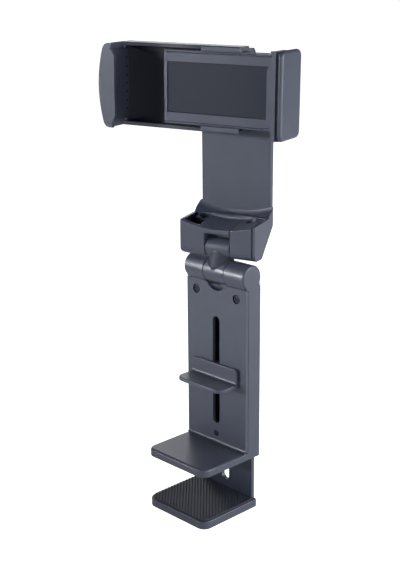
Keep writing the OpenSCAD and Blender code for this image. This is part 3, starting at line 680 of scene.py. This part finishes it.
# %% Rear cover and its screws
rear = block("clamp_back_made", (-35, 10.7, -17.6), (29.7, 13.2, 17.6))
round_edges(rear, lambda e: runs(e, 1), 1.5, 6)
round_edges(rear, lambda e: sharp(e) and middle(e).y > 13, 0.6, 4)
REAR_SCREWS = [(x, z) for x in (-12, 27.2) for z in (-11, 11)]
for x, z in REAR_SCREWS:
    combine(rear, rod("seat", "y", 1.9, 12.1, 14, at=(x, 0, z), sides=40))
combine(rear, rod("bore", "y", 1.2, 11, 14, sides=32))
dress(rear, "clamp_back", SLATE, CLAMP)
rear_screws = repeat(screw(1.8, 0.8, 0.85, 4.8, 1.0), "back_screws_made",
                     [at(x, 12.9, z) @ FACE_BACK @ ASKEW for x, z in REAR_SCREWS])
dress(rear_screws, "back_screws", SCREW, CLAMP)

# %% Pad, end cap and right lining
pad = block("phone_pad_made", (-32.6, 5, -12.2), (27.2, 6.2, 12.2))
round_edges(pad, lambda e: runs(e, 1), 0.5, 4)
round_edges(pad, lambda e: sharp(e) and middle(e).y < 5.1, 0.25, 3)
dress(pad, "phone_pad", PAD, CLAMP)
end_cap = block("right_cap_made", (32.8, -7.4, -20.4), (34.8, 13.2, 20.4))
round_edges(end_cap, lambda e: runs(e, 0), 3.4, 10)
round_edges(end_cap, lambda e: sharp(e) and middle(e).x > 34.7, 1.4, 6)
round_edges(end_cap, lambda e: sharp(e) and middle(e).x < 32.9, 0.2, 2)
dress(end_cap, "right_cap", SLATE, CLAMP)
grip = block("right_lining_made", (28.4, -5.6, -17.2), (29.7, 4.5, 17.2))
round_edges(grip, lambda e: sharp(e), 0.2, 2)
dress(grip, "right_lining", RUBBER, CLAMP)

# %% Sliding jaw
slider = copy_solid("left_jaw", CLAMP)
round_edges(slider, lambda e: sharp(e, 40) and middle(e).x < -55
            and (middle(e).y < -7.3 or middle(e).y > 13.1) and middle(e).x < -58.5, 0.7, 4)
# painted shade: the front of the tongue is nearly black
dress(slider, "left_jaw", SLATE, CLAMP,
      dark=lambda c, n: n.y < -0.5 and -56 < c.x and c.y > 8.2 and abs(c.z) < 18.6)

# %% Notched lining
NOTCHES, NOTCH_PITCH = 7, 4.2
teeth = block("left_lining_made", (-58.6, -5.6, -17.2), (-57.1, 8.3, 17.2))
round_edges(teeth, lambda e: sharp(e) and middle(e).x > -57.2, 0.2, 2)
groove = block("groove", (-58.2, 6.1, -13.1), (-55, 7.7, -12.1))
row = groove.modifiers.new("row", "ARRAY")
row.count = NOTCHES
row.use_relative_offset = False
row.use_constant_offset = True
row.constant_offset_displace = (0, 0, NOTCH_PITCH * MM)
use(groove)
bpy.ops.object.modifier_apply(modifier="row")
combine(teeth, groove)
dress(teeth, "left_lining", RUBBER, CLAMP)

# %% Guide bars and end stop
bars = block("guide_bars_made", (-13.4, 4, 17.3), (7.2, 4.9, 20.3))
round_edges(bars, lambda e: runs(e, 0) and middle(e).y < 4.1, 0.8, 6)
lower_bar = bars.copy()
lower_bar.data = bars.data.copy()
bpy.context.scene.collection.objects.link(lower_bar)
move_in(lower_bar, at(0, 0, -37.6))
use(bars)
lower_bar.select_set(True)
bpy.ops.object.join()
dress(bars, "guide_bars", SLATE, CLAMP)
stop = block("rail_stop_made", (7.3, 4, 17.3), (15.1, 4.9, 20.3))
round_edges(stop, lambda e: runs(e, 1) and middle(e).x > 15 and middle(e).z > 20, 2, 8)
round_edges(stop, lambda e: sharp(e) and middle(e).y < 4.1, 0.25, 3)
combine(stop, block("window", (8.5, 3, 17.9), (12.9, 6, 18.8)))
dress(stop, "rail_stop", SLATE, CLAMP)

# %% [markdown]
# ## Floor and light
#
# The photograph is a catalogue picture on white. The floor is a very large pale sheet. It and
# the sky behind it look white to the camera, but they light the holder only a little, so that
# the dark plastic keeps its contrast. Five soft boxes light the holder: two from the right for
# the bright side of the arm, a wide weak one from the front left, one from behind on the left
# that draws a line of light on the rims of the jaws, and a narrow one for the phone clamp.

# %% Floor
bpy.ops.mesh.primitive_plane_add(size=60)
floor = bpy.context.object
floor.name = "floor"
paper = bpy.data.materials.new("paper")
paper.use_nodes = True
sheet = paper.node_tree.nodes["Principled BSDF"].inputs
sheet["Base Color"].default_value = (0.9, 0.9, 0.9, 1)
sheet["Roughness"].default_value = 0.9
sheet["Emission Color"].default_value = (1, 1, 1, 1)
glow = paper.node_tree.nodes.new("ShaderNodeMapRange")
# how brightly the sheet glows on the holder, and to the camera
glow.inputs["To Min"].default_value = 0.27
glow.inputs["To Max"].default_value = 1.0
seen = paper.node_tree.nodes.new("ShaderNodeLightPath")
paper.node_tree.links.new(seen.outputs["Is Camera Ray"], glow.inputs["Value"])
paper.node_tree.links.new(glow.outputs["Result"], sheet["Emission Strength"])
floor.data.materials.append(paper)

# %% Studio light
world = bpy.data.worlds.new("studio")
bpy.context.scene.world = world
world.use_nodes = True
sky = world.node_tree
heights = sky.nodes.new("ShaderNodeTexCoord")
split = sky.nodes.new("ShaderNodeSeparateXYZ")
fade = sky.nodes.new("ShaderNodeValToRGB")
fade.color_ramp.elements[0].position = 0.0
fade.color_ramp.elements[0].color = (0.14, 0.145, 0.155, 1)
fade.color_ramp.elements[1].position = 0.75
fade.color_ramp.elements[1].color = (0.07, 0.073, 0.08, 1)
seen = sky.nodes.new("ShaderNodeLightPath")
white = sky.nodes.new("ShaderNodeMix")
white.data_type = "RGBA"
white.inputs[MIX_B].default_value = (1, 1, 1, 1)
sky.links.new(heights.outputs["Generated"], split.inputs["Vector"])
sky.links.new(split.outputs["Z"], fade.inputs["Fac"])
sky.links.new(seen.outputs["Is Camera Ray"], white.inputs["Factor"])
sky.links.new(fade.outputs["Color"], white.inputs[MIX_A])
sky.links.new(white.outputs[MIX_OUT], sky.nodes["Background"].inputs["Color"])
sky.nodes["Background"].inputs["Strength"].default_value = 1.0


def softbox(name, place, target, size, power, spread=180):
    """a square lamp at a place, in metres, that faces a target, with its spread in degrees"""
    lamp = bpy.data.objects.new(name, bpy.data.lights.new(name, "AREA"))
    bpy.context.scene.collection.objects.link(lamp)
    lamp.data.size = size
    lamp.data.energy = power
    lamp.data.spread = math.radians(spread)
    lamp.data.color = (0.95, 0.97, 1)
    lamp.location = place
    lamp.rotation_euler = (Vector(target) - Vector(place)).to_track_quat("-Z", "Y").to_euler()


MIDDLE = (0, 0, 0.13)
softbox("right_back", (0.93, 0.54, 0.38), MIDDLE, 0.6, 12)
softbox("right", (1.0, -0.25, 0.40), MIDDLE, 0.7, 5.5)
softbox("front_left", (-0.61, -0.87, 0.42), MIDDLE, 1.2, 2.6)
softbox("left_back", (-0.85, 0.6, 0.40), MIDDLE, 0.5, 1.7)
softbox("clamp", (-0.43, -0.62, 0.38), (-0.01, 0, 0.26), 0.45, 0.68, 12)
bpy.context.scene.view_settings.view_transform = "Standard"
